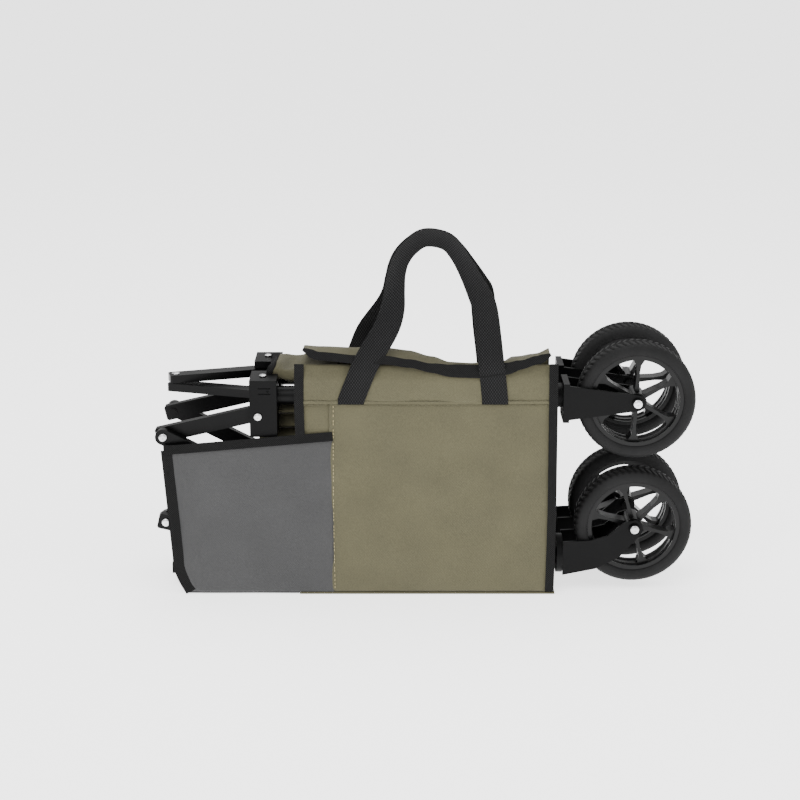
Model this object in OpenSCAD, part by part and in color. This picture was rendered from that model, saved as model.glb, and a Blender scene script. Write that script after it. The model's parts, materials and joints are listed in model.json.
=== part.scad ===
// Folding camp wagon, folded and lying on its front side inside its carry wrap.
// +X runs from the wagon's top rails towards its wheels, +Y from the near long side
// to the far one, and +Z up, from the wagon's front end to its rear end.
// The origin is on the ground, under the middle of the wrap.

/* [Frame] */
// Spacing of the front and rear posts along Z, folded
post_pitch_z = 249; // [230:1:270]
// Distance of each post's axis from the middle plane, folded
post_y = 52.5; // [50:0.5:56]
// Height of the front posts' axis above the ground
front_z = 54; // [52:1:60]
// Outer diameter of a post
post_d = 28; // [24:1:28]
// Wall of a post's tube
post_wall = 1.5; // [1.2:0.1:3]
// Upper end of the posts
post_x0 = -233; // [-236:1:-233]
// Lower end of the posts
post_x1 = 196; // [194:1:196]
// Width of a rail
rail_w = 24; // [20:1:24]
// Thickness of a rail
rail_t = 12; // [10:1:12]
// Length of each of the four segments of a side rail, between pivots
side_rail_l = 145; // [130:1:150]
// Length of each of the two segments of an end rail, between pivots
end_rail_l = 132; // [120:1:135]
// Length of each of the two segments of a base rail, between pivots
base_rail_l = 275; // [260:1:290]
// Length of each of the two segments of a base end rail, between pivots
base_end_l = 119; // [110:1:122]

/* [Wheels] */
// Radius of a wheel
wheel_r = 88.5; // [85:0.5:90]
// Width of a tyre
wheel_w = 43; // [38:1:44]
// Height of the tyre's side wall
tyre_h = 19; // [14:1:22]
// Rear axle's place along X
rear_axle_x = 310; // [308:1:325]
// Front axle's place along X
front_axle_x = 312; // [308:1:320]
// Distance from a caster's swivel axis to its axle
trail = 48; // [40:1:48]
// Spokes in a rim
spokes = 6; // [5:1:8]

/* [Wrap] */
// Half of the wrap's depth
wrap_y = 88; // [86:1:90]
// Thickness of a wrap panel
wrap_t = 3.7; // [3:0.1:3.7]
// Height of the seam that the carry straps are sewn to
seam_z = 302; // [290:1:305]
// Top of the near panel
strip_z = 354; // [345:1:355]
// Underside of the top flap along the near panel
flap_z = 355.5; // [355.5:0.5:358]
// Underside of the top flap along the back panel
flap_back_z = 322.5; // [322:0.5:325]
// Left edge of the near panel
near_x0 = -140; // [-145:1:-130]
// Left edge of the strip above the seam
strip_x0 = -190; // [-195:1:-185]
// Right edge of the wrap
wrap_x1 = 194; // [190:1:195]
// Left edge of the grey flap at the ground
flap_x0 = -380; // [-385:1:-370]

/* [Carry straps] */
// Width of the webbing
web_w = 38; // [35:1:40]
// Thickness of the webbing, sewn double
web_t = 3; // [2:0.5:4]

/* [Pull handle] */
// Height of the handle's axis above the ground
handle_z = 24; // [23:0.5:24.5]
// Radius of the handle's outer tube
handle_r = 9; // [8:0.5:9]
// Left end of the grip
grip_x0 = -387; // [-390:1:-380]

/* [Hidden] */

$fn = 64;
rear_z = front_z + post_pitch_z;
mid_z = (front_z + rear_z) / 2;
post_r = post_d / 2;
pin_r = 3;
bore_r = pin_r + 0.08;
pivot_x = -248;
base_x = 160;
base_end_y = 24.5;
end_y = 37.5;
// Drop of the side rails' and of the base rails' pivots below the post's axis
side_drop = 25;
base_drop = 40;
// Drop of a folded side rail from its post pivot to its outer tip
tip_drop = 33;
// Bevel at a rail's square end
bevel = 2.5;
// Running clearance round a pin or a post
clear = 0.05;
// How far a rivet's or a cap's head stands proud
head_h = 1.2;
rivet_r = 5.8;
block_x0 = -260;
block_x1 = -220;
block_y0 = 82;
block_z0 = rear_z - 56;
block_z1 = rear_z + 30;
bracket_z1 = rear_z + 18;
groove_z = block_z1 - 16;
groove_gap = 4.2;
// The side rails' slot: clearance outside them, and its inner face
slot_y = 1.3;
slot_y1 = 51;
slot_x1 = pivot_x + rail_w / 2 + 1;
// A rail's flat sides lie just inside its round ends
flat_w = rail_w - 0.6;
// Two layers of side rails and two of end rails, each measured from the outside in
side_a = 78;
side_b = 64;
side_lo = rear_z - side_drop;
base_lo = rear_z - base_drop;
end_a = rear_z - 7;
end_b = rear_z + 6.5;
base_end_a = rear_z - 12;
base_end_b = rear_z + 1.5;
tip_z = side_lo - tip_drop;
tip_x = pivot_x - sqrt(side_rail_l * side_rail_l - tip_drop * tip_drop);
middle_x = tip_x + sqrt(side_rail_l * side_rail_l - (tip_z - mid_z) * (tip_z - mid_z));
end_run = sqrt(end_rail_l * end_rail_l - end_y * end_y);
base_rise = base_lo - mid_z;
base_run = sqrt(base_rail_l * base_rail_l - base_rise * base_rise);
base_end_run = sqrt(base_end_l * base_end_l - base_end_y * base_end_y);
leg_in = wheel_w / 2 + 2;
leg_t = 4;
rear_axle_z = rear_z - 5;
axle_r = 5;
hub_r = 14;
stem_r = 6;
stem_l = 30;
tub_t = 6;
tub_x0 = -214;
tub_x1 = 135;
floor_w = 136;
floor_y = 42;
gap = 0.3;
flap_t = 5;
flap_bend_y = -30;
bracket_x = base_x - base_end_run;
handle_x1 = bracket_x - 18;
tube_x0 = -215;

// One strap's middle line, from its left sewn end over the grip to its right one:
// x, distance from the middle plane, z, turn of the webbing about its own line
strap_line = [
  [-111, 90.5, 300, 0], [-111, 90.5, 305, 0], [-100, 92.5, 334, 0], [-87, 93, 365, 3],
  [-60, 75, 408, 14], [-50, 62, 435, 26], [-47, 50, 462, 40], [-44, 39, 484, 50],
  [-37, 30, 503, 57], [-23, 22, 520, 60], [-2, 18.5, 532.5, 60], [27, 19.5, 528, 60],
  [45, 25, 511, 57], [62, 36, 484, 48], [77, 50, 455, 32], [85, 61, 436, 20],
  [89, 76, 404, 8], [93, 93, 366, 2], [97, 92.5, 334, 0], [100, 90.5, 305, 0],
  [100, 90.5, 300, 0]
];

// ---- placing ----
module far_side() { mirror([0, 1, 0]) children(); }
module front_end() { translate([0, 0, 2 * mid_z]) mirror([0, 0, 1]) children(); }

// A solid drawn in X and Z and given a depth along Y
module along_y(y0, y1) {
  translate([0, y1, 0]) rotate([90, 0, 0]) linear_extrude(y1 - y0) children();
}
module along_z(z0, z1) {
  translate([0, 0, z0]) linear_extrude(z1 - z0) children();
}
module rod_x(x0, x1, y, z, r) {
  translate([x0, y, z]) rotate([0, 90, 0]) cylinder(r = r, h = x1 - x0);
}
module rod_y(y0, y1, x, z, r) {
  translate([x, y0, z]) rotate([-90, 0, 0]) cylinder(r = r, h = y1 - y0);
}
module rod_z(z0, z1, x, y, r) {
  translate([x, y, z0]) cylinder(r = r, h = z1 - z0);
}
module slab(lo, hi) { translate(lo) cube(hi - lo); }

// ---- frame ----
// Rear near post: a tube with a solid foot that takes the wheel's stem
module post() {
  difference() {
    rod_x(post_x0, post_x1, -post_y, rear_z, post_r);
    rod_x(post_x0 - 1, post_x1 - stem_l - 4, -post_y, rear_z, post_r - post_wall);
    rod_x(post_x1 - stem_l - 5, post_x1 + 1, -post_y, rear_z, stem_r + 0.08);
  }
}

// Moulded corner block: it caps the post and holds one side rail and one end rail
module corner_block() {
  difference() {
    slab([block_x0, -block_y0, block_z0], [block_x1, -end_y + 11.5, block_z1]);
    rod_x(post_x0, block_x1 + 1, -post_y, rear_z, post_r + clear);
    slab([block_x0 - 1, -side_a - slot_y, block_z0 - 1], [slot_x1, -slot_y1, side_lo + rail_w / 2 + 2]);
    slab([block_x0 - 1, -end_y - 13, end_a - 1], [slot_x1, 0, end_b + rail_t + 1]);
    // two shallow grooves and a dimple in the outer face
    for (z = [groove_z - groove_gap, groove_z + groove_gap])
      slab([block_x0 + 13, -block_y0 - 1, z - 1], [block_x0 + 31, -block_y0 + 1.5, z + 1]);
    rod_y(-block_y0 - 1, -block_y0 + 1.5, block_x0 + 27, groove_z, 1.8);
  }
  rod_y(-block_y0 + 1, -50, pivot_x, side_lo, pin_r);
  rod_z(end_a - 2, end_b + rail_t + 2, pivot_x, -end_y, pin_r);
  rod_y(-block_y0 - head_h, -block_y0 + 1, pivot_x, side_lo, rivet_r);
  rod_z(block_z1 - 1, block_z1 + head_h, pivot_x + 7, -end_y - 20, 5);
}

// Moulded bracket round the post's lower end: it holds the base rails
module base_bracket() {
  x0 = base_x - 20;
  difference() {
    slab([x0, -block_y0, block_z0], [base_x + 18, -base_end_y + 12.5, bracket_z1]);
    rod_x(x0 - 1, base_x + 19, -post_y, rear_z, post_r + clear);
    slab([x0 - 1, -side_a - slot_y, block_z0 - 1], [base_x + 12.5, -slot_y1, base_lo + 20]);
    slab([x0 - 1, -37.2, base_end_a - 1], [base_x + 12.5, 0, base_end_b + rail_t + 1]);
  }
  rod_y(-block_y0 + 1, -50, base_x, base_lo, pin_r);
  rod_z(base_end_a - 2, base_end_b + rail_t + 2, base_x, -base_end_y, pin_r);
}

module blocks() {
  corner_block();
  base_bracket();
}

// A rail segment in the plane, round at its pivot p and cut square just past its pivot q
module rail_outline(p, q) {
  d = q - p;
  w = flat_w / 2;
  end_x = norm(d) + rail_w / 2;
  difference() {
    union() {
      translate(p) circle(d = rail_w);
      translate(p) rotate(atan2(d[1], d[0]))
        polygon([
          [0, -w], [end_x - bevel, -w], [end_x, bevel - w],
          [end_x, w - bevel], [end_x - bevel, w], [0, w]
        ]);
    }
    translate(p) circle(r = bore_r);
  }
}

// Side rail segment from its pivot p to its pivot q: layer is the distance of its outer
// face from the middle plane, and the outer layer's head stands on that face
module side_rail(p, q, layer, rivet) {
  head_y = layer == side_a ? -side_a - head_h : -side_b + rail_t;
  along_y(-layer, -layer + rail_t) rail_outline(p, q);
  if (rivet) rod_y(-side_a - head_h, -side_b + rail_t + head_h, q[0], q[1], pin_r);
  rod_y(head_y, head_y + head_h, q[0], q[1], 6);
}

// End rail segment: z is its lower face
module end_rail(p, q, z) {
  along_z(z, z + rail_t) rail_outline(p, q);
}

// Near side rail's segments, counted from the front: the middle ones meet at mid height
module side_rail_n(n) {
  post_end = [pivot_x, side_lo];
  tip = [tip_x, tip_z];
  middle = [middle_x, mid_z];
  if (n == 4) side_rail(post_end, tip, side_b, true);
  if (n == 3) side_rail(tip, middle, side_a, false);
  if (n == 1) front_end() side_rail(post_end, tip, side_a, true);
  if (n == 2) front_end() side_rail(tip, middle, side_b, false);
}

module base_rail_n(n) {
  q = [base_x - base_run, mid_z];
  if (n == 2) side_rail([base_x, base_lo], q, side_b, false);
  if (n == 1) front_end() side_rail([base_x, base_lo], q, side_a, false);
}

// ---- wheels ----
module tyre(x, z) {
  translate([x, -post_y, z]) rotate([90, 0, 0]) rotate_extrude($fn = 96)
    polygon([
      [wheel_r - tyre_h, -wheel_w / 2 + 2.5], [wheel_r - tyre_h, wheel_w / 2 - 2.5],
      [wheel_r - tyre_h + 3, wheel_w / 2], [wheel_r - 6, wheel_w / 2],
      [wheel_r, wheel_w / 2 - 7], [wheel_r, -wheel_w / 2 + 7],
      [wheel_r - 6, -wheel_w / 2], [wheel_r - tyre_h + 3, -wheel_w / 2]
    ]);
}

module rim(x, z, turn) {
  r_out = wheel_r - tyre_h - 0.2;
  r_in = r_out - 6;
  translate([x, -post_y, z]) rotate([90, 0, 0]) difference() {
    union() {
      difference() {
        translate([0, 0, -wheel_w / 2 + 4]) cylinder(r = r_out, h = wheel_w - 8);
        translate([0, 0, -wheel_w / 2]) cylinder(r = r_in, h = wheel_w);
      }
      translate([0, 0, -wheel_w / 2]) cylinder(r = hub_r, h = wheel_w);
      for (n = [0 : spokes - 1]) rotate(turn + n * 360 / spokes) translate([0, 0, -11])
        linear_extrude(22) polygon([
          [hub_r - 5, -3.8], [hub_r + 10, -3], [hub_r + 26, -2.2], [r_in - 10, -3.6], [r_in + 2, -11],
          [r_in + 2, 11], [r_in - 10, 3.6], [hub_r + 26, 2.2], [hub_r + 10, 3], [hub_r - 5, 3.8]
        ]);
    }
    translate([0, 0, -wheel_w]) cylinder(r = axle_r + 0.08, h = 2 * wheel_w);
  }
}

// Axle bolt with its head outside and its nut inside
module axle_bolt(x, z) {
  y0 = -post_y - leg_in - leg_t;
  y1 = -post_y + leg_in + leg_t;
  rod_y(y0 - 1, y1 + 1, x, z, axle_r);
  rod_y(y0 - 4.5, y0 - 0.5, x, z, 8);
  rod_y(y1 + 0.5, y1 + 5.5, x, z, 8);
}

// A fork's two legs, from an outline in X and Z, with their axle holes
module legs(x, z) {
  for (s = [-1, 1]) difference() {
    along_y(-post_y + s * (leg_in + leg_t / 2) - leg_t / 2, -post_y + s * (leg_in + leg_t / 2) + leg_t / 2)
      children();
    rod_y(-post_y - 2 * wheel_w, -post_y + 2 * wheel_w, x, z, axle_r + 0.05);
  }
}

module fork_rear() {
  z = rear_axle_z;
  x = rear_axle_x;
  x0 = post_x1 + 5;
  difference() {
    union() {
      slab([x0, -post_y - leg_in - leg_t, rear_z - 35], [x0 + 9, -post_y + leg_in + leg_t, rear_z + 24]);
      rod_x(post_x1 - 2.5, x0 + 1, -post_y, rear_z, post_r + 4);
    }
    rod_x(post_x1 - 3, post_x1, -post_y, rear_z, post_r);
  }
  legs(x, z) {
    union() {
      polygon([[x0 + 8.9, rear_z - 31], [x, z - 12], [x, z + 12], [x0 + 8.9, rear_z + 21]]);
      translate([x, z]) circle(r = 12);
    }
  }
  axle_bolt(x, z);
}

// Front caster: a stem in the post's foot, a round top plate and two bent legs
module caster() {
  z = front_z + trail;
  x = front_axle_x;
  x0 = post_x1 + 1;
  rod_x(post_x1 - stem_l, x0 + 1, -post_y, front_z, stem_r);
  rod_x(x0, x0 + 9, -post_y, front_z, leg_in + leg_t + 2);
  legs(x, z) {
    union() {
      polygon([
        [x0 + 8.9, front_z - 26], [x - 57, front_z - 16], [x - 21, front_z + 3], [x + 10, z - 9],
        [x - 5, z + 12], [x - 18, z + 8], [x - 40, front_z + 36], [x - 66, front_z + 29],
        [x0 + 8.9, front_z + 27]
      ]);
      translate([x, z]) circle(r = 13);
    }
  }
  axle_bolt(x, z);
}

// ---- wrap ----
module wrap_panel_near() {
  slab([near_x0, -wrap_y, wrap_t + 2 * gap], [wrap_x1 - 4, -wrap_y + wrap_t, seam_z]);
  slab([strip_x0, -wrap_y, seam_z - 0.1], [wrap_x1 - 4, -wrap_y + wrap_t, strip_z]);
}

// The top flap: level over the near side, then sloping down to the back panel
module top_flap() {
  y0 = -wrap_y + wrap_t;
  y1 = wrap_y - gap;
  translate([strip_x0 + 12, 0, 0]) rotate([90, 0, 90]) linear_extrude(wrap_x1 - strip_x0 - 20)
    polygon([
      [y0, flap_z], [flap_bend_y, flap_z + 1], [y1, flap_back_z],
      [y1, flap_back_z + flap_t], [flap_bend_y, flap_z + 1 + flap_t], [y0, flap_z + flap_t]
    ]);
}

// The grey flap: an upright side and a base that runs under the rails
module grey_flap_shape() {
  x1 = near_x0 - gap;
  along_y(-wrap_y, -wrap_y + wrap_t) polygon([
    [flap_x0 + 8, 0], [strip_x0 - gap, 0], [strip_x0 - gap, wrap_t + gap], [x1, wrap_t + gap],
    [x1, seam_z - 51], [flap_x0 - 11, seam_z - 73], [flap_x0, 14]
  ]);
  slab([flap_x0 + 8, -wrap_y + 1, 0], [strip_x0 - gap, wrap_y, wrap_t]);
}

// ---- carry straps ----
function unit(v) = v / norm(v);
function strap_p(i) = [strap_line[i][0], -strap_line[i][1], strap_line[i][2]];
function strap_dir(i) =
  unit(strap_p(min(i + 1, len(strap_line) - 1)) - strap_p(max(i - 1, 0)));
function strap_ring(i) =
  let (
    t = strap_dir(i),
    v = unit([0, 1, 0] - t * t[1]),
    u = cross(t, v),
    a = strap_line[i][3],
    w = (u * cos(a) + v * sin(a)) * web_w / 2,
    n = unit(cross(t, w)) * web_t / 2,
    p = strap_p(i)
  )
  [p + w + n, p - w + n, p - w - n, p + w - n];
module strap() {
  last = len(strap_line) - 1;
  polyhedron(
    [for (i = [0 : last], p = strap_ring(i)) p],
    concat(
      [[0, 1, 2, 3]],
      [for (i = [0 : last - 1], k = [0 : 3])
        [4 * i + k, 4 * i + 4 + k, 4 * i + 4 + (k + 1) % 4, 4 * i + (k + 1) % 4]],
      [[for (k = [3 : -1 : 0]) 4 * last + k]]
    )
  );
}

// ---- pull handle ----
module bracket() {
  difference() {
    slab([bracket_x - 18, -18, handle_z - 10], [bracket_x + 18, 18, base_end_z_front - 0.5]);
    rod_x(handle_x1 - 1, bracket_x + 8, 0, handle_z, handle_r);
  }
}
base_end_z_front = 2 * mid_z - base_end_b - rail_t;

module handle_outer() {
  difference() {
    rod_x(tube_x0, bracket_x + 8, 0, handle_z, handle_r);
    rod_x(tube_x0 - 1, bracket_x - 20, 0, handle_z, handle_r - 2 + 0.08);
  }
}

// Inner tube with a closed D grip
module handle_inner() {
  rod_x(grip_x0 + 48, tube_x0 + 190, 0, handle_z, handle_r - 2);
  along_z(handle_z - 8, handle_z + 8) difference() {
    union() {
      translate([grip_x0 + 12, 0]) square([28, 84], center = true);
      polygon([[grip_x0 + 8, -42], [grip_x0 + 52, -14], [grip_x0 + 52, 14], [grip_x0 + 8, 42]]);
    }
    translate([grip_x0 + 18, -28]) square([10, 56]);
    polygon([[grip_x0 + 27.9, -28], [grip_x0 + 38, -12], [grip_x0 + 38, 12], [grip_x0 + 27.9, 28]]);
    translate([grip_x0 - 3, -45]) square([3, 90]);
  }
}

// ---- tub ----
module tub_side() {
  slab([tub_x0, -post_y + 2.5, 2 * mid_z - rear_z + 24], [tub_x1, -post_y + 2.5 + tub_t, rear_z - 24]);
}
module tub_end() {
  slab([tub_x0, -37, rear_z - 16 - tub_t], [tub_x1, 37, rear_z - 16]);
}
module floor_half(z0, z1) {
  slab([tub_x1 - floor_w, -floor_y, z0], [tub_x1, -floor_y + 5, z1]);
}

// ---- nodes ----
frame_c = [0.07, 0.07, 0.075];
grey_c = [0.27, 0.28, 0.29];
khaki_c = [0.55, 0.49, 0.38];
black_c = [0.05, 0.05, 0.055];

module post_front_near() { color(frame_c) front_end() post(); }
module post_front_far() { color(frame_c) far_side() front_end() post(); }
module post_rear_near() { color(frame_c) post(); }
module post_rear_far() { color(frame_c) far_side() post(); }
module blocks_front_near() { color(black_c) front_end() blocks(); }
module blocks_front_far() { color(black_c) far_side() front_end() blocks(); }
module blocks_rear_near() { color(black_c) blocks(); }
module blocks_rear_far() { color(black_c) far_side() blocks(); }
module side_rail_near_1() { color(frame_c) side_rail_n(1); }
module side_rail_near_2() { color(frame_c) side_rail_n(2); }
module side_rail_near_3() { color(frame_c) side_rail_n(3); }
module side_rail_near_4() { color(frame_c) side_rail_n(4); }
module side_rail_far_1() { color(frame_c) far_side() side_rail_n(1); }
module side_rail_far_2() { color(frame_c) far_side() side_rail_n(2); }
module side_rail_far_3() { color(frame_c) far_side() side_rail_n(3); }
module side_rail_far_4() { color(frame_c) far_side() side_rail_n(4); }
end_p = [pivot_x, -end_y];
end_q = [pivot_x - end_run, 0];
module end_rail_rear_near() { color(frame_c) end_rail(end_p, end_q, end_a); }
module end_rail_rear_far() { color(frame_c) far_side() end_rail(end_p, end_q, end_b); }
module end_rail_front_near() { color(frame_c) front_end() end_rail(end_p, end_q, end_a); }
module end_rail_front_far() { color(frame_c) far_side() front_end() end_rail(end_p, end_q, end_b); }
module base_rail_near_1() { color(frame_c) base_rail_n(1); }
module base_rail_near_2() { color(frame_c) base_rail_n(2); }
module base_rail_far_1() { color(frame_c) far_side() base_rail_n(1); }
module base_rail_far_2() { color(frame_c) far_side() base_rail_n(2); }
base_p = [base_x, -base_end_y];
base_q = [base_x - base_end_run, 0];
module base_end_rear_near() { color(frame_c) end_rail(base_p, base_q, base_end_a); }
module base_end_rear_far() { color(frame_c) far_side() end_rail(base_p, base_q, base_end_b); }
module base_end_front_near() { color(frame_c) front_end() end_rail(base_p, base_q, base_end_a); }
module base_end_front_far() { color(frame_c) far_side() front_end() end_rail(base_p, base_q, base_end_b); }
module fork_rear_near() { color(black_c) fork_rear(); }
module fork_rear_far() { color(black_c) far_side() fork_rear(); }
module caster_near() { color(black_c) caster(); }
module caster_far() { color(black_c) far_side() caster(); }
module tyre_front_near() { color(black_c) tyre(front_axle_x, front_z + trail); }
module tyre_front_far() { color(black_c) far_side() tyre(front_axle_x, front_z + trail); }
module tyre_rear_near() { color(black_c) tyre(rear_axle_x, rear_axle_z); }
module tyre_rear_far() { color(black_c) far_side() tyre(rear_axle_x, rear_axle_z); }
module rim_front_near() { color(black_c) rim(front_axle_x, front_z + trail, 45); }
module rim_front_far() { color(black_c) far_side() rim(front_axle_x, front_z + trail, 20); }
module rim_rear_near() { color(black_c) rim(rear_axle_x, rear_axle_z, 28); }
module rim_rear_far() { color(black_c) far_side() rim(rear_axle_x, rear_axle_z, 5); }
module wrap_bottom() { color(khaki_c) slab([strip_x0, -wrap_y, 0], [wrap_x1, wrap_y, wrap_t]); }
module wrap_near() { color(khaki_c) wrap_panel_near(); }
module wrap_back() {
  color(khaki_c)
    slab([strip_x0, wrap_y - wrap_t, wrap_t + gap], [wrap_x1 - 4, wrap_y, flap_back_z - gap]);
}
module wrap_top() { color(khaki_c) top_flap(); }
module grey_flap() { color(grey_c) grey_flap_shape(); }
module strap_near() { color(black_c) strap(); }
module strap_far() { color(black_c) far_side() strap(); }
module handle_bracket() { color(black_c) bracket(); }
module handle_tube() { color(frame_c) handle_outer(); }
module handle_grip() { color(black_c) handle_inner(); }
module tub_near() { color(khaki_c) tub_side(); }
module tub_far() { color(khaki_c) far_side() tub_side(); }
module tub_front() { color(khaki_c) front_end() tub_end(); }
module tub_rear() { color(khaki_c) tub_end(); }
floor_z0 = 2 * mid_z - rear_z + 36;
floor_z1 = rear_z - 36;
module floor_near_front() { color(grey_c) floor_half(floor_z0, mid_z - 1); }
module floor_near_rear() { color(grey_c) floor_half(mid_z + 1, floor_z1); }
module floor_far_front() { color(grey_c) far_side() floor_half(floor_z0, mid_z - 1); }
module floor_far_rear() { color(grey_c) far_side() floor_half(mid_z + 1, floor_z1); }

post_front_near();
post_front_far();
post_rear_near();
post_rear_far();
blocks_front_near();
blocks_front_far();
blocks_rear_near();
blocks_rear_far();
side_rail_near_1();
side_rail_near_2();
side_rail_near_3();
side_rail_near_4();
side_rail_far_1();
side_rail_far_2();
side_rail_far_3();
side_rail_far_4();
end_rail_front_near();
end_rail_front_far();
end_rail_rear_near();
end_rail_rear_far();
base_rail_near_1();
base_rail_near_2();
base_rail_far_1();
base_rail_far_2();
base_end_front_near();
base_end_front_far();
base_end_rear_near();
base_end_rear_far();
fork_rear_near();
fork_rear_far();
caster_near();
caster_far();
tyre_front_near();
tyre_front_far();
tyre_rear_near();
tyre_rear_far();
rim_front_near();
rim_front_far();
rim_rear_near();
rim_rear_far();
wrap_bottom();
wrap_near();
wrap_back();
wrap_top();
grey_flap();
strap_near();
strap_far();
handle_bracket();
handle_tube();
handle_grip();
tub_near();
tub_far();
tub_front();
tub_rear();
floor_near_front();
floor_near_rear();
floor_far_front();
floor_far_rear();
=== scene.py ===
import json
import math

import bpy
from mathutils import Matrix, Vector, noise


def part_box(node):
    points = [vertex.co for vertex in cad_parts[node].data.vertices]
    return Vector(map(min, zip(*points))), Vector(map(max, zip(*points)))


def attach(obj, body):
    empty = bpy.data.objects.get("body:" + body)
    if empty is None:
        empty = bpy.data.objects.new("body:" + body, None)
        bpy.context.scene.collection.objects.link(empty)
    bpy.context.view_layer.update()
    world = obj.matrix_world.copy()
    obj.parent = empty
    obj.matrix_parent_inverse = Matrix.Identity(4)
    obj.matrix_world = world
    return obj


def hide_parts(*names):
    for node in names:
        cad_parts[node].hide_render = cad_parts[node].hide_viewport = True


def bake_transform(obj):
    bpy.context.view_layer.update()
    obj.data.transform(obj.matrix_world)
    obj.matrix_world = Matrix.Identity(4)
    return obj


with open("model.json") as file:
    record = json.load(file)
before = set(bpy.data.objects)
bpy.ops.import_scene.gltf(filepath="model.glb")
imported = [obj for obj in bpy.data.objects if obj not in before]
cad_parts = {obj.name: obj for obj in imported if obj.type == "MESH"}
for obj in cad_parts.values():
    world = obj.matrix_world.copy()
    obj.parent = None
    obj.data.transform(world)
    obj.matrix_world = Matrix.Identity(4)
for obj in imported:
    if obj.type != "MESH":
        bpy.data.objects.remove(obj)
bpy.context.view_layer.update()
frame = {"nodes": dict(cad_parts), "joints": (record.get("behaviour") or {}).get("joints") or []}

MM = 0.001

# ---------------------------------------------------------------- camera and studio


def look_at(obj, target):
    obj.rotation_euler = (Vector(target) - obj.location).to_track_quat("-Z", "Y").to_euler()


def make_camera():
    target = Vector((-0.039, -0.05, 0.2945))
    elevation = math.radians(16.5)
    distance = 2.75
    cam = bpy.data.objects.new("camera", bpy.data.cameras.new("camera"))
    bpy.context.scene.collection.objects.link(cam)
    cam.location = target + distance * Vector((0.0, -math.cos(elevation), math.sin(elevation)))
    look_at(cam, target)
    cam.data.sensor_width = 36
    cam.data.lens = 36 * distance / 1.187
    bpy.context.scene.camera = cam


def make_light(name, place, size, power, target=(0, 0, 0.2)):
    light = bpy.data.objects.new(name, bpy.data.lights.new(name, "AREA"))
    light.data.size = size
    light.data.energy = power
    light.location = place
    bpy.context.scene.collection.objects.link(light)
    look_at(light, target)


def make_studio():
    world = bpy.data.worlds.new("studio")
    bpy.context.scene.world = world
    world.use_nodes = True
    world.node_tree.nodes["Background"].inputs["Color"].default_value = (1, 1, 1, 1)
    world.node_tree.nodes["Background"].inputs["Strength"].default_value = 1.0
    make_light("key", (-1.2, -2.2, 2.6), 2.2, 85)
    make_light("fill", (2.2, -1.4, 1.6), 2.0, 40)
    make_light("top", (0.2, 0.9, 2.8), 2.0, 45)
    bpy.ops.mesh.primitive_plane_add(size=80, location=(0, 0, -0.0004))
    floor = bpy.context.object
    floor.name = "studio_floor"
    white = make_material("floor_white", (0.93, 0.93, 0.93), 0.95, specular=0.1)
    white.node_tree.nodes["Principled BSDF"].inputs["Emission Color"].default_value = (1, 1, 1, 1)
    white.node_tree.nodes["Principled BSDF"].inputs["Emission Strength"].default_value = 1.8
    floor.data.materials.append(white)


# ---------------------------------------------------------------- materials


def make_material(name, color, rough, build=None, specular=0.5, sheen=0.0, metallic=0.0):
    m = bpy.data.materials.new(name)
    m.use_nodes = True
    bsdf = m.node_tree.nodes["Principled BSDF"]
    bsdf.inputs["Base Color"].default_value = (*color, 1)
    bsdf.inputs["Roughness"].default_value = rough
    bsdf.inputs["Specular IOR Level"].default_value = specular
    bsdf.inputs["Metallic"].default_value = metallic
    if sheen:
        bsdf.inputs["Sheen Weight"].default_value = sheen
        bsdf.inputs["Sheen Roughness"].default_value = 0.5
    if build:
        build(Nodes(m), color, rough)
    return m


class Nodes:
    """A material's node tree, with short ways to add and join nodes."""

    def __init__(self, m):
        self.tree = m.node_tree
        self.bsdf = self.tree.nodes["Principled BSDF"]
        self.place = self.add("ShaderNodeTexCoord").outputs["Object"]

    def add(self, kind, **inputs):
        node = self.tree.nodes.new(kind)
        for key, value in inputs.items():
            node.inputs[key.replace("_", " ")].default_value = value
        return node

    def join(self, a, b):
        self.tree.links.new(a, b)

    def noise(self, scale, detail=4, rough=0.55):
        node = self.add("ShaderNodeTexNoise", Scale=scale, Detail=detail, Roughness=rough)
        self.join(self.place, node.inputs["Vector"])
        return node.outputs["Fac"]

    def wave(self, scale, along):
        """Bands of 1 / scale metres, counted along a direction."""
        dot = self.add("ShaderNodeVectorMath")
        dot.operation = "DOT_PRODUCT"
        self.join(self.place, dot.inputs[0])
        dot.inputs[1].default_value = Vector(along) * scale * 2 * math.pi
        return self.math("SINE", dot.outputs["Value"])

    def math(self, op, a, b=None):
        node = self.tree.nodes.new("ShaderNodeMath")
        node.operation = op
        for n, v in enumerate((a, b)):
            if v is None:
                continue
            if isinstance(v, (int, float)):
                node.inputs[n].default_value = v
            else:
                self.join(v, node.inputs[n])
        return node.outputs[0]

    def ramp(self, value, lo, hi, low=0.0, high=1.0):
        node = self.add("ShaderNodeMapRange")
        self.join(value, node.inputs["Value"])
        for key, v in (("From Min", low), ("From Max", high), ("To Min", lo), ("To Max", hi)):
            node.inputs[key].default_value = v
        return node.outputs["Result"]

    def shade(self, color, value, dark, light):
        """Base colour times dark where value is 0, and times light where it is 1."""
        mix = self.tree.nodes.new("ShaderNodeMix")
        mix.data_type = "RGBA"
        mix.inputs["A"].default_value = (*(c * dark for c in color), 1)
        mix.inputs["B"].default_value = (*(min(1, c * light) for c in color), 1)
        self.join(value, mix.inputs["Factor"])
        self.join(mix.outputs["Result"], self.bsdf.inputs["Base Color"])

    def rough(self, value, lo, hi):
        self.join(self.ramp(value, lo, hi), self.bsdf.inputs["Roughness"])

    def bump(self, value, distance, strength=0.6):
        node = self.add("ShaderNodeBump", Strength=strength, Distance=distance)
        self.join(value, node.inputs["Height"])
        self.join(node.outputs["Normal"], self.bsdf.inputs["Normal"])


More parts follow.
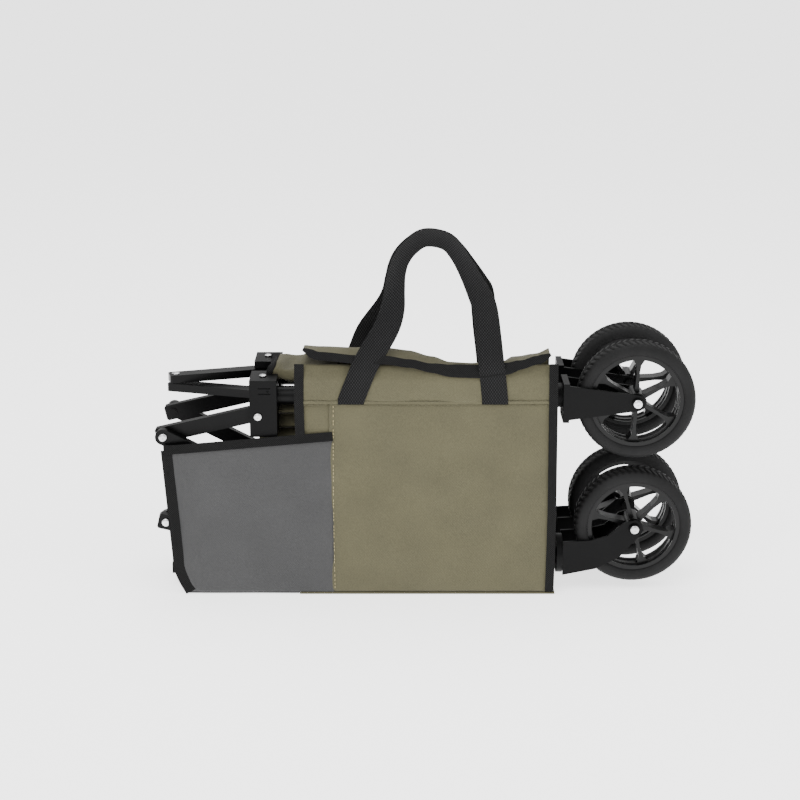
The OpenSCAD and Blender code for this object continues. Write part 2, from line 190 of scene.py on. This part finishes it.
def woven(threads, depth, contrast=0.16, share=0.35, along=((1, 0, 0), (0, 1, 1)), painted_glint=0.0):
    """A plain weave: threads per metre each way, over slow stains of colour, with painted glints: pale
    specks in the base colour for light glinting on shiny threads.
    """

    def build(n, color, rough):
        warp, weft = n.wave(threads, along[0]), n.wave(threads, along[1])
        weave = n.math("ADD", n.math("MULTIPLY", n.math("MULTIPLY", warp, weft), 0.5), 0.5)
        stain = n.noise(14)
        slub = n.noise(420, 2)
        rest = (1 - share) / 2
        tone = n.math("ADD", n.math("MULTIPLY", weave, share), n.math("MULTIPLY", stain, rest))
        tone = n.math("ADD", tone, n.math("MULTIPLY", slub, rest))
        # painted highlight: pale specks in the base colour stand for glints of light on shiny nylon threads
        if painted_glint:
            n.shade(color, n.math("POWER", tone, 3), 0.4, painted_glint)
        else:
            n.shade(color, tone, 1 - contrast * 2, 1 + contrast * 2)
        n.rough(stain, rough - 0.08, rough + 0.08)
        n.bump(n.math("ADD", weave, n.math("MULTIPLY", slub, 0.6)), depth)

    return build


def moulded(grain, depth):
    """Moulded plastic: fine grain, with rubbed patches."""

    def build(n, color, rough):
        fine, wear = n.noise(grain, 3), n.noise(18, 6, 0.65)
        n.shade(color, n.ramp(wear, 0, 1, 0.35, 0.75), 0.75, 1.7)
        n.rough(wear, rough - 0.12, rough + 0.14)
        n.bump(fine, depth, 0.5)

    return build


def powder_coat(n, color, rough):
    """Satin powder coat: orange peel, dust and a few pale scuffs."""
    peel, dust, scuff = n.noise(900, 2), n.noise(11, 5), n.noise(90, 8, 0.75)
    n.shade(color, n.ramp(n.math("ADD", n.math("MULTIPLY", dust, 0.6), n.math("MULTIPLY", scuff, 0.4)),
                          0, 1, 0.4, 0.7), 0.8, 1.9)
    n.rough(dust, rough - 0.1, rough + 0.15)
    n.bump(peel, 0.00012, 0.4)


def make_materials():
    canvas = woven(420, 0.0006, 0.34)
    oxford = woven(380, 0.0006, 0.3)
    # the tape and the ribbed webbing get painted glints: pale specks standing for light glinting on the
    # nylon
    tape = woven(300, 0.0008, share=0.7, painted_glint=14)
    zinc = moulded(300, 0.0001)
    satin = moulded(700, 0.00015)
    ribbed = woven(210, 0.0014, share=0.75, along=((1.2, 0, 0), (0, 0.5, 0.85)), painted_glint=9)
    return {
        "khaki": make_material("khaki_canvas", (0.075, 0.0695, 0.0402), 0.88, canvas, 0.2, 0.08),
        "grey": make_material("grey_oxford", (0.043, 0.043, 0.0435), 0.82, oxford, 0.2, 0.05),
        "binding": make_material("black_binding", (0.003, 0.003, 0.003), 0.85, tape, 0.06, 0.01),
        "webbing": make_material("black_webbing", (0.0042, 0.0042, 0.0043), 0.8, ribbed, 0.1, 0.015),
        "thread": make_material("sand_thread", (0.26, 0.225, 0.12), 0.8, woven(900, 0.0001), 0.3),
        "frame": make_material("black_powder_coat", (0.0013, 0.0013, 0.0014), 0.34, powder_coat, 0.11),
        "plastic": make_material("black_moulding", (0.0015, 0.0015, 0.0016), 0.42, satin, 0.09),
        "rim": make_material("black_rim", (0.0035, 0.0035, 0.0036), 0.3, moulded(500, 0.0001), 0.18),
        "rubber": make_material("tyre_rubber", (0.0065, 0.0065, 0.0066), 0.66, moulded(350, 0.0003), 0.14),
        "steel": make_material("zinc_bolt", (0.62, 0.62, 0.63), 0.3, zinc, 0.5, metallic=1.0),
    }


# ---------------------------------------------------------------- mesh helpers


def new_mesh(name, verts, faces, material, smooth=True):
    mesh = bpy.data.meshes.new(name)
    mesh.from_pydata([tuple(v) for v in verts], [], faces)
    mesh.materials.append(M[material])
    if smooth:
        mesh.polygons.foreach_set("use_smooth", [True] * len(mesh.polygons))
    mesh.update()
    obj = bpy.data.objects.new(name, mesh)
    bpy.context.scene.collection.objects.link(obj)
    return obj


def grid_mesh(name, point, nu, nv, material, thick=0.0, wrap_u=False):
    """A sheet through point(u, v), u and v from 0 to 1, thickened to both sides."""
    cols = nu if wrap_u else nu + 1
    verts = [point(i / nu, j / nv) for j in range(nv + 1) for i in range(cols)]
    faces = [
        (j * cols + i, j * cols + (i + 1) % cols, (j + 1) * cols + (i + 1) % cols, (j + 1) * cols + i)
        for j in range(nv)
        for i in range(nu)
    ]
    obj = new_mesh(name, verts, faces, material)
    if thick:
        mod = obj.modifiers.new("thickness", "SOLIDIFY")
        mod.thickness = thick
        mod.offset = 0
    return obj


def spline(points, steps):
    """Catmull-Rom curve through tuples of any length."""
    pts = [tuple(p) for p in points]
    pts = [pts[0]] + pts + [pts[-1]]
    out = []
    for k in range(1, len(pts) - 2):
        for s in range(steps):
            t = s / steps
            a, b, c, d = pts[k - 1 : k + 3]
            out.append(
                tuple(
                    0.5 * (2 * q + (r - p) * t + (2 * p - 5 * q + 4 * r - w) * t * t
                           + (3 * q - p - 3 * r + w) * t ** 3)
                    for p, q, r, w in zip(a, b, c, d)
                )
            )
    out.append(pts[-2])
    return out


def ribbon(name, rings, material, thick, rounded=0.35):
    """A flat band through rings of (centre, width vector, normal), closed at both ends."""
    section = []
    for sx, sy in ((1, 1), (-1, 1), (-1, -1), (1, -1)):
        a, b = (sx, sy * rounded), (sx * (1 - 0.04), sy)
        section += [a, b] if sx * sy > 0 else [b, a]
    verts, n = [], len(section)
    for centre, width, normal in rings:
        for a, b in section:
            verts.append(centre + width * a + normal * (b * thick / 2))
    faces = [
        (k * n + i, k * n + (i + 1) % n, (k + 1) * n + (i + 1) % n, (k + 1) * n + i)
        for k in range(len(rings) - 1)
        for i in range(n)
    ]
    faces += [tuple(reversed(range(n))), tuple((len(rings) - 1) * n + i for i in range(n))]
    obj = new_mesh(name, verts, faces, material)
    obj.modifiers.new("edges", "EDGE_SPLIT").split_angle = math.radians(55)
    return obj


def along_path(path, k):
    """The direction of a path at its point k."""
    return (path[min(k + 1, len(path) - 1)] - path[max(k - 1, 0)]).normalized()


def band(name, points, width_dir, width, thick, material, steps=6):
    """A flat band along points, its width across width_dir made square to the path."""
    path = [Vector(p) for p in spline(points, steps)]
    rings = []
    for k, p in enumerate(path):
        t = along_path(path, k)
        w = Vector(width_dir)
        w = (w - t * w.dot(t)).normalized()
        rings.append((p, w * width / 2, t.cross(w)))
    return ribbon(name, rings, material, thick)


def stitches(name, points, out, length=0.0042, pitch=0.0068, radius=0.0006, material="thread"):
    """A row of raised stitches along points: small rounded bars, in one mesh."""
    path = [Vector(p) for p in spline(points, 30)]
    verts, faces, left = [], [], 0.0
    out = Vector(out).normalized()
    for a, b in zip(path, path[1:]):
        step = (b - a).length
        left -= step
        if left > 0 or step < 1e-7:
            continue
        left += pitch
        t = (b - a) / step
        side = t.cross(out).normalized()
        for s, r in ((-0.5, 0.2), (-0.35, 1.0), (0.35, 1.0), (0.5, 0.2)):
            for k in range(6):
                ang = k * math.pi / 3
                verts.append(a + t * s * length + (side * math.cos(ang) + out * math.sin(ang)) * radius * r)
        base = len(verts) - 24
        faces += [
            (j + k, j + (k + 1) % 6, j + 6 + (k + 1) % 6, j + 6 + k)
            for j in range(base, base + 18, 6)
            for k in range(6)
        ]
        faces += [tuple(base + k for k in range(5, -1, -1)), tuple(base + 18 + k for k in range(6))]
    return new_mesh(name, verts, faces, material)


def wrinkle(x, y, z, scale, seed):
    return noise.noise(Vector((x * scale + seed, y * scale - seed, z * scale + 2.3 * seed)))


M = {}
make_camera()
M.update(make_materials())
make_studio()

# ---------------------------------------------------------------- CAD nodes kept


def paint(prefixes, material):
    for name, obj in frame["nodes"].items():
        if name.startswith(prefixes):
            if not obj.material_slots:
                obj.data.materials.append(M[material])
            for s in obj.material_slots:
                s.material = M[material]


paint(("post", "side_rail", "end_rail", "base_rail", "base_end", "handle_tube"), "frame")
paint(("blocks", "fork", "caster", "handle_bracket", "handle_grip"), "plastic")
paint(("rim",), "rim")

# ---------------------------------------------------------------- tyres


TYRE_H = 0.019
TREAD_BLOCKS = 58
TREAD_CUT = 0.0021


def tyre_point(cx, cy, cz, radius, half):
    """A tyre's skin: rounded shoulders, and a herringbone tread cut 2 mm deep."""
    inner = radius - TYRE_H
    shoulder = [
        (inner, -half + 0.003), (inner + 0.002, -half + 0.0006), (inner + 0.006, -half),
        (radius - 0.0085, -half + 0.0002), (radius - 0.005, -half + 0.0018), (radius - 0.002, -half + 0.005),
    ]
    tread = [(radius - 0.0005 - 0.0009 * abs(s) ** 2, s * (half - 0.0062)) for s in
             [k / 9 - 1 for k in range(19)]]
    first, last = len(shoulder), len(shoulder) + len(tread) - 1
    outline = shoulder + tread + [(r, -y) for r, y in reversed(shoulder)]

    def point(u, v):
        k = min(int(round(v * (len(outline) - 1))), len(outline) - 1)
        r, y = outline[k]
        ang = 2 * math.pi * u
        if first <= k <= last:
            phase = (u * TREAD_BLOCKS + 0.9 * abs(y) / half) % 1
            r -= TREAD_CUT if phase < 0.34 or abs(y) < 0.0012 else 0.0
        return (cx + r * math.cos(ang), cy + y, cz + r * math.sin(ang))

    return point, len(outline) - 1


def make_tyre(where):
    lo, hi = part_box("tyre_" + where)
    cx, cy, cz = ((a + b) / 2 for a, b in zip(lo, hi))
    radius, half = (hi[2] - lo[2]) / 2, (hi[1] - lo[1]) / 2
    point, nv = tyre_point(cx, cy, cz, radius, half)
    tyre = grid_mesh("tyre_skin_" + where, point, 464, nv, "rubber", wrap_u=True)
    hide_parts("tyre_" + where)
    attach(tyre, "wheel_" + where)
    # two low ridges inside the rim
    ring_r = radius - TYRE_H - 0.0066
    for s in (-1, 1):
        def ridge(u, v, s=s):
            a = 2 * math.pi * u
            b = math.pi * v
            r = ring_r - 0.0012 * math.sin(b)
            return (cx + r * math.cos(a), cy + s * 0.0085 + 0.0016 * math.cos(b), cz + r * math.sin(a))
        name = "rim_ridge_%s_%s" % (where, "in" if s * cy < 0 else "out")
        ring = grid_mesh(name, ridge, 96, 6, "rim", wrap_u=True)
        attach(ring, "wheel_" + where)


for end in ("front", "rear"):
    for side in ("near", "far"):
        make_tyre(end + "_" + side)

# ---------------------------------------------------------------- wrap

near_lo, near_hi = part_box("wrap_near")
back_lo, back_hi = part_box("wrap_back")
base_lo, base_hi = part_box("wrap_bottom")
flap_lo, flap_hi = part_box("grey_flap")
CLOTH = 0.0016
SEAM = 0.302
FRONT_X0 = flap_hi[0]
LEFT, RIGHT = near_lo[0], near_hi[0]
FACE_Y = near_lo[1] + 0.0018


def smooth(t):
    t = min(1.0, max(0.0, t))
    return t * t * (3 - 2 * t)


def bulge(u, v, power=0.5):
    """0 along a panel's edges, 1 in its middle."""
    return (max(0.0, 4 * u * (1 - u)) ** power) * (max(0.0, 4 * v * (1 - v)) ** power)


def cloth_y(x, z, u, v, lift, seed):
    fold = 0.0042 * wrinkle(x, 0, z, 9, seed) + 0.0018 * wrinkle(x, 0, z, 26, seed + 5)
    drag = 0.0022 * math.sin(34 * (x * 0.9 + z * 0.55) + 3 * wrinkle(x, 0, z, 4, seed))
    return -(lift * bulge(u, v) + (fold + drag * 0.5) * bulge(u, v, 0.35))


def declare(obj, body, node=None, flat=None):
    if node:
        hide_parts(*([node] if isinstance(node, str) else node))
    if body:
        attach(obj, body)
    return obj


def make_near_panel():
    """Front panel, and the strip above the seam with its stepped gusset at the left."""

    def front(u, v):
        x = FRONT_X0 - 0.003 + (RIGHT - FRONT_X0 + 0.003) * u
        z = 0.0045 + (SEAM - 0.0045) * v
        return (x, FACE_Y + cloth_y(x, z, u, v, 0.0035, 1.0), z)

    def strip(u, v):
        x = LEFT + 0.001 + (RIGHT - LEFT - 0.001) * u
        z = SEAM - 0.002 + (near_hi[2] + 0.006 - SEAM) * v
        lean = 0.006 * smooth((v - 0.6) / 0.4)
        return (x, FACE_Y - 0.0008 + cloth_y(x, z, u, v, 0.0035, 4.0) + lean, z)

    def gusset(u, v):
        x = LEFT + 0.001 + (FRONT_X0 - LEFT + 0.012) * u
        z = flap_hi[2] - 0.004 + (SEAM - flap_hi[2] + 0.004) * v
        return (x, FACE_Y + 0.0026 + 0.4 * cloth_y(x, z, u, v, 0.002, 7.0), z)

    parts = [
        (grid_mesh("wrap_front_cloth", front, 90, 76, "khaki", CLOTH), (0.333, 0.291)),
        (grid_mesh("wrap_strip_cloth", strip, 100, 20, "khaki", CLOTH), (0.38, 0.054)),
        (grid_mesh("wrap_gusset_cloth", gusset, 16, 18, "khaki", CLOTH), (0.062, 0.059)),
    ]
    for n, (piece, flat) in enumerate(parts):
        declare(piece, "wrap_near", "wrap_near" if n == 0 else None, flat)


def trim(name, points, width_dir, width, body, material="binding", thick=0.0028):
    piece = band(name, points, width_dir, width, thick, material)
    return declare(piece, body)


def make_near_trims():
    y = FACE_Y - 0.0024
    trim("binding_right", [(RIGHT - 0.004, y, 0.005), (RIGHT - 0.003, y - 0.0015, 0.12),
                           (RIGHT - 0.004, y - 0.0015, 0.25), (RIGHT - 0.005, y, near_hi[2] + 0.006)],
         (1, 0, 0), 0.013, "wrap_near")
    trim("binding_left", [(LEFT + 0.004, y, near_hi[2] + 0.006), (LEFT + 0.003, y, 0.30),
                          (LEFT + 0.004, y + 0.001, flap_hi[2] - 0.004)], (1, 0, 0), 0.014, "wrap_near")
    x = FRONT_X0 + 0.0035
    piece = stitches("hem_stitches", [(x, FACE_Y - 0.0022, 0.012), (x - 0.001, FACE_Y - 0.0025, 0.15),
                                      (x, FACE_Y - 0.0022, SEAM - 0.004)], (0, -1, 0))
    declare(piece, "wrap_near")
    for n, z in enumerate((SEAM + 0.0025, SEAM - 0.0035)):
        piece = stitches("seam_stitches_%d" % n, [(LEFT + 0.012, FACE_Y - 0.003, z), (0, FACE_Y - 0.0035, z),
                                                  (RIGHT - 0.012, FACE_Y - 0.003, z)], (0, -1, 0),
                         material="khaki")
        declare(piece, "wrap_near")
    seam = band("seam_roll", [(LEFT + 0.006, FACE_Y - 0.0022, SEAM), (0, FACE_Y - 0.003, SEAM - 0.0005),
                              (RIGHT - 0.006, FACE_Y - 0.0022, SEAM)], (0, 0, 1), 0.0045, 0.0022, "khaki")
    declare(seam, "wrap_near")


def make_bottom():
    def under(u, v):
        x = base_lo[0] + (base_hi[0] - base_lo[0]) * u
        y = base_lo[1] + (base_hi[1] - base_lo[1]) * v
        return (x, y, 0.0019 + 0.0009 * abs(wrinkle(x, y, 0, 12, 3.0)) * bulge(u, v, 0.4))

    declare(grid_mesh("wrap_base_cloth", under, 60, 30, "khaki", 0.0026), "front_near",
            "wrap_bottom", (0.384, 0.176))


FLAP_END = 0.183
# Along x, in mm: height of the flap's back edge, of its ridge and of its hanging front edge
FLAP = [
    (-183, 326, 377, 380), (-156, 325, 376, 372), (-100, 325, 374, 367), (-60, 324, 373, 366),
    (-26, 322, 371, 361), (8, 317, 364, 354), (35, 312, 357, 350), (75, 311, 354, 349),
    (115, 313, 355, 353), (137, 324, 361, 359), (160, 325, 367, 366), (183, 326, 373, 372),
]


def flap_heights(x):
    for (xa, *a), (xb, *b) in zip(FLAP, FLAP[1:]):
        if x * 1000 <= xb:
            t = smooth((x * 1000 - xa) / (xb - xa))
            break
    return [(p + (q - p) * t) * MM for p, q in zip(a, b)]


def make_back():
    y0 = back_hi[1] - 0.0016

    def back(u, v):
        x = back_lo[0] + (back_hi[0] - back_lo[0]) * u
        z = 0.0045 + (flap_heights(max(-FLAP_END, min(FLAP_END, x)))[0] - 0.0045) * v
        return (x, y0 - cloth_y(x, z, u, v, 0.004, 11.0), z)

    declare(grid_mesh("wrap_back_cloth", back, 90, 80, "khaki", CLOTH), "wrap_back",
            "wrap_back", (0.38, 0.32))
    for n, x in enumerate((back_lo[0] + 0.004, back_hi[0] - 0.004)):
        points = [(x, y0 + 0.002, 0.006), (x, y0 + 0.003, 0.17), (x, y0 + 0.002, back_hi[2])]
        trim("back_binding_%d" % n, points, (1, 0, 0), 0.013, "wrap_back")


RIDGE = 0.80


def flap_point(u, v):
    """From the back panel's top edge (v=0) up to the ridge and down the near side (v=1)."""
    x = -0.180 + 0.360 * u
    back, ridge, front = flap_heights(x)
    y = 0.087 - 0.176 * v
    y += 0.010 * max(0.0, 1 - 14 * min(u, 1 - u)) ** 2 * v
    if v < RIDGE:
        z = back + (ridge - back) * v / RIDGE
    else:
        z = ridge + (front - ridge) * smooth((v - RIDGE) / (1 - RIDGE))
    z += 0.006 * wrinkle(x, y, 0, 13, 2.0) * bulge(u, v, 0.3)
    return (x, y, z)


def make_top():
    body = "wrap_top"
    flap = grid_mesh("wrap_top_cloth", flap_point, 110, 60, "khaki", CLOTH)
    declare(flap, body, "wrap_top", (0.36, 0.185))
    path = [Vector(flap_point(k / 60, 1.0)) for k in range(61)]
    rings = []
    for k, p in enumerate(path):
        t = along_path(path, k)
        w = Vector((0, 0.35, 1.0))
        w = (w - t * w.dot(t)).normalized()
        # In the sagging middle the binding is made wider, so its black also covers the shade under the
        # flap's hanging edge: partly real binding, partly painted shade.
        half = 0.0062 + 0.0035 * smooth((p.x + 0.01) / 0.06) * smooth((0.15 - p.x) / 0.05)
        half *= 0.35 + 0.65 * smooth(min(k, 60 - k) / 2)
        rings.append((p + Vector((0, -0.0022, 0.001)), w * half, t.cross(w)))
    declare(ribbon("flap_binding", rings, "binding", 0.003), body)


def make_grey_flap():
    x1 = FRONT_X0 + 0.002
    top = flap_hi[2] - 0.002
    left_low, left_high = -0.372, flap_lo[0] + 0.003

    def left_edge(z):
        return left_low + (left_high - left_low) * z / (top - 0.022)

    def top_edge(x):
        return top - 0.022 * (x1 - x) / (x1 - left_high)

    def face(u, v):
        z = 0.004 + v * (top - 0.026)
        x = left_edge(z) + (x1 - left_edge(z)) * u
        z = 0.004 + v * (top_edge(x) - 0.004)
        x += 0.014 * smooth(1 - v * 7) * smooth(1 - u * 16)
        crease = -0.334 - 0.12 * z - x
        turned = 0.12 * max(0.0, crease) - 0.0016 * math.exp(-((crease / 0.004) ** 2))
        y = -0.0866 + cloth_y(x, z, u, v, 0.0022, 21.0) * 0.75 + min(0.0045, turned)
        return (x, y, z)

    def under(u, v):
        x = left_low + 0.012 + (-0.1905 - left_low - 0.012) * u
        y = -0.0845 + 0.172 * v
        return (x, y, 0.002 + 0.0006 * wrinkle(x, y, 0, 12, 8.0))

    front = grid_mesh("grey_side_cloth", face, 76, 64, "grey", CLOTH)
    declare(front, "front_near", "grey_flap", (0.25, 0.236))
    declare(grid_mesh("grey_base_cloth", under, 40, 36, "grey", 0.0026), "front_near", None,
            (0.17, 0.172))
    upper = [Vector(face(k / 12, 1.0)) + Vector((0, -0.002, 0.001)) for k in range(13)]
    trim("grey_top_binding", upper, (0, 0.25, 1), 0.0135, "front_near")
    side = [Vector(face(0.0, k / 12)) + Vector((0.004, -0.002, 0)) for k in range(12, -1, -1)]
    trim("grey_side_binding", side, (1, 0, 0), 0.0165, "front_near")


make_near_panel()
make_near_trims()
make_bottom()
make_back()
make_top()
make_grey_flap()

# ---------------------------------------------------------------- carry straps

WEB_W = 0.038
# The near strap, as in the CAD: x, distance from the middle plane, z (mm) and turn
STRAP = [
    (-111, 90.5, 300, 0), (-111, 90.5, 305, 0), (-100, 92.5, 334, 0), (-87, 93, 365, 3), (-60, 75, 408, 14),
    (-50, 62, 435, 26), (-47, 50, 462, 40), (-44, 39, 484, 50), (-37, 30, 503, 57), (-23, 22, 520, 60),
    (-2, 18.5, 532.5, 60), (27, 19.5, 528, 60), (45, 25, 511, 57), (62, 36, 484, 48), (77, 50, 455, 32),
    (85, 61, 436, 20), (89, 76, 404, 8), (93, 93, 366, 2), (97, 92.5, 334, 0), (100, 90.5, 305, 0),
    (100, 90.5, 300, 0),
]


def make_strap(side, sign):
    rows = [STRAP[0], *spline(STRAP[1:-1], 6), STRAP[-1]]
    path = [Vector((x * MM, sign * y * MM, z * MM)) for x, y, z, _ in rows]
    rings = []
    for k, (p, row) in enumerate(zip(path, rows)):
        t = along_path(path, k)
        v = (Vector((0, 1, 0)) - t * t.y).normalized()
        u = t.cross(v)
        a = math.radians(row[3]) * -sign
        w = (u * math.cos(a) + v * math.sin(a)) * WEB_W / 2
        rings.append((p, w, t.cross(w).normalized()))
    strap = ribbon("webbing_" + side, rings, "webbing", 0.0028)
    declare(strap, "strap_" + side, "strap_" + side)


make_strap("near", -1)
make_strap("far", 1)

# ---------------------------------------------------------------- rivets and bolts


def dome(name, place, axis, radius, height, body, material="steel"):
    """A domed rivet head with a rolled edge and a small dimple, its flat side at place."""
    axis = Vector(axis).normalized()
    side = axis.orthogonal().normalized()
    across = axis.cross(side)
    rows = [
        (1.0, 0.0), (1.0, 0.25), (0.95, 0.5), (0.82, 0.75),
        (0.6, 0.93), (0.36, 1.0), (0.26, 0.9), (0.1, 0.82),
    ]
    turn = 20
    verts = [
        Vector(place) + axis * height * h + (side * math.cos(a) + across * math.sin(a)) * radius * r
        for r, h in rows
        for a in (2 * math.pi * k / turn for k in range(turn))
    ]
    faces = [
        (j * turn + k, j * turn + (k + 1) % turn, (j + 1) * turn + (k + 1) % turn, (j + 1) * turn + k)
        for j in range(len(rows) - 1)
        for k in range(turn)
    ]
    last = (len(rows) - 1) * turn
    faces += [tuple(last + k for k in range(turn)), tuple(reversed(range(turn)))]
    piece = new_mesh(name, verts, faces, material)
    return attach(piece, body)


def make_rivets():
    pos = {j["name"]: j["pos_m"] for j in frame["joints"] if j["type"] == "hinge"}
    for side, s in (("near", -1), ("far", 1)):
        pick = 0 if s < 0 else 1
        for end, n in (("front", 1), ("rear", 4)):
            x, _, z = pos["side_%s_%d" % (side, n)]
            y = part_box("blocks_%s_%s" % (end, side))[pick][1]
            dome("rivet_block_%s_%s" % (end, side), (x, y, z), (0, s, 0), 0.0058, 0.0022, end + "_" + side)
            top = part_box("blocks_%s_%s" % (end, side))[1 if end == "rear" else 0][2]
            up = 1 if end == "rear" else -1
            dome("rivet_cap_%s_%s" % (end, side), (x + 0.007, s * 0.0575, top), (0, 0, up), 0.0052, 0.002,
                 end + "_" + side)
        for joint, rail in ((2, 1), (3, 3)):
            x, _, z = pos["side_%s_%d" % (side, joint)]
            body = "side_rail_%s_%d" % (side, rail)
            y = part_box(body)[pick][1]
            dome("rivet_tip_%s_%d" % (side, rail), (x, y, z), (0, s, 0), 0.0062, 0.0024, body)
        for end in ("front", "rear"):
            x, _, z = pos["wheel_%s_%s_spin" % (end, side)]
            body = "caster_" + side if end == "front" else "rear_" + side
            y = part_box("fork_rear_" + side if end == "rear" else "caster_" + side)[pick][1]
            dome("bolt_%s_%s" % (end, side), (x, y, z), (0, s, 0), 0.0066, 0.0022, body)
    lo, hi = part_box("end_rail_rear_far")
    dome("rivet_end_rear", (lo[0] + 0.0121, 0.0, hi[2]), (0, 0, 1), 0.006, 0.002, "end_rail_rear_far")


make_rivets()

# ---------------------------------------------------------------- tub, folded between the posts

PLEAT = 0.013


def pleat(t, count):
    """A rounded zigzag, from -1 to 1."""
    p = (t * count) % 2
    tri = 2 * p - 1 if p < 1 else 3 - 2 * p
    return math.sin(tri * math.pi / 2)


Z0, Z1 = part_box("post_front_near")[0][2] + 0.030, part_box("post_rear_near")[0][2] - 0.002
TUB_X0, TUB_X1 = -0.2195, 0.134


def make_tub():
    for side, s in (("near", -1), ("far", 1)):
        def panel(u, v, s=s):
            x0 = TUB_X0 - 0.030 * smooth((v - 0.02) / 0.1) * smooth((0.84 - v) / 0.08)
            x = x0 + (TUB_X1 - x0) * u
            z = Z0 + (Z1 - Z0) * v
            y = 0.036 + PLEAT * pleat(v, 20) * (0.85 + 0.15 * math.sin(9 * u + 5 * v))
            return (x, s * y, z + 0.003 * wrinkle(x, 0, z, 11, 3.0 * s))
        piece = grid_mesh("tub_side_" + side, panel, 30, 240, "khaki", 0.0012)
        declare(piece, None, "tub_" + side, (0.35, 0.6))
        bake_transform(piece)
    ends = (("front", "front_near", "front_far", 0.0735), ("rear", "rear_near", "tub_rear_hem", 0.2835))
    for end, a, b, z0 in ends:
        def panel(u, v, z0=z0):
            x = TUB_X0 + (TUB_X1 - TUB_X0) * u
            y = -0.034 + 0.068 * v
            return (x, y, z0 + 0.0085 * pleat(v, 10) * (0.85 + 0.15 * math.sin(8 * u)))
        piece = grid_mesh("tub_end_" + end, panel, 30, 96, "khaki", 0.0012)
        declare(piece, None, "tub_" + end, (0.35, 0.22))
        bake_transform(piece)


def make_floor():
    for side, s in (("near", -1), ("far", 1)):
        lo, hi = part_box("floor_%s_front" % side)
        z0, z1 = lo[2] + 0.002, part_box("floor_%s_rear" % side)[1][2] - 0.002
        y0 = (lo[1] + hi[1]) / 2

        def half(u, v, y0=y0, z0=z0, z1=z1):
            x = lo[0] + (hi[0] - lo[0]) * u
            return (x, y0 + s * 0.004 + 0.0058 * pleat(v, 30), z0 + (z1 - z0) * v)
        piece = grid_mesh("floor_half_" + side, half, 12, 300, "grey", 0.001)
        names = ["floor_%s_front" % side, "floor_%s_rear" % side]
        declare(piece, None, names, (0.136, 0.5))
        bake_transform(piece)


def make_hem_roll():
    """The tub's rolled rim, lying on the rear posts where it leaves the wrap."""

    def sleeve(u, v):
        a = 2 * math.pi * u
        x = -0.236 + 0.105 * v
        flat = 0.62
        c, n = math.cos(a), math.sin(a)
        y = 0.004 + 0.047 * math.copysign(abs(c) ** flat, c)
        z = 0.331 + (0.0105 + 0.002 * math.sin(3 * a + 20 * v)) * math.copysign(abs(n) ** flat, n)
        z += 0.004 * wrinkle(x, y, z, 20, 5.0) + 0.004 * math.sin(14 * v) * (1 - v)
        return (x + 0.006 * n * (1 - v), y, z)

    roll = grid_mesh("tub_hem_roll", sleeve, 72, 26, "khaki", 0.0014, wrap_u=True)
    declare(roll, None, None, (0.21, 0.105))
    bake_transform(roll)
    rings = []
    for k in range(49):
        p, q = Vector(sleeve(k / 48, 0.0)), Vector(sleeve(k / 48, 0.06))
        w = (q - p).normalized()
        t = (Vector(sleeve((k + 1) / 48, 0.0)) - Vector(sleeve((k - 1) / 48, 0.0))).normalized()
        rings.append((p + w * 0.004, w * 0.0058, t.cross(w).normalized()))
    edge = ribbon("tub_hem_binding", rings, "binding", 0.0042)
    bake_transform(edge)


make_tub()
make_floor()
make_hem_roll()
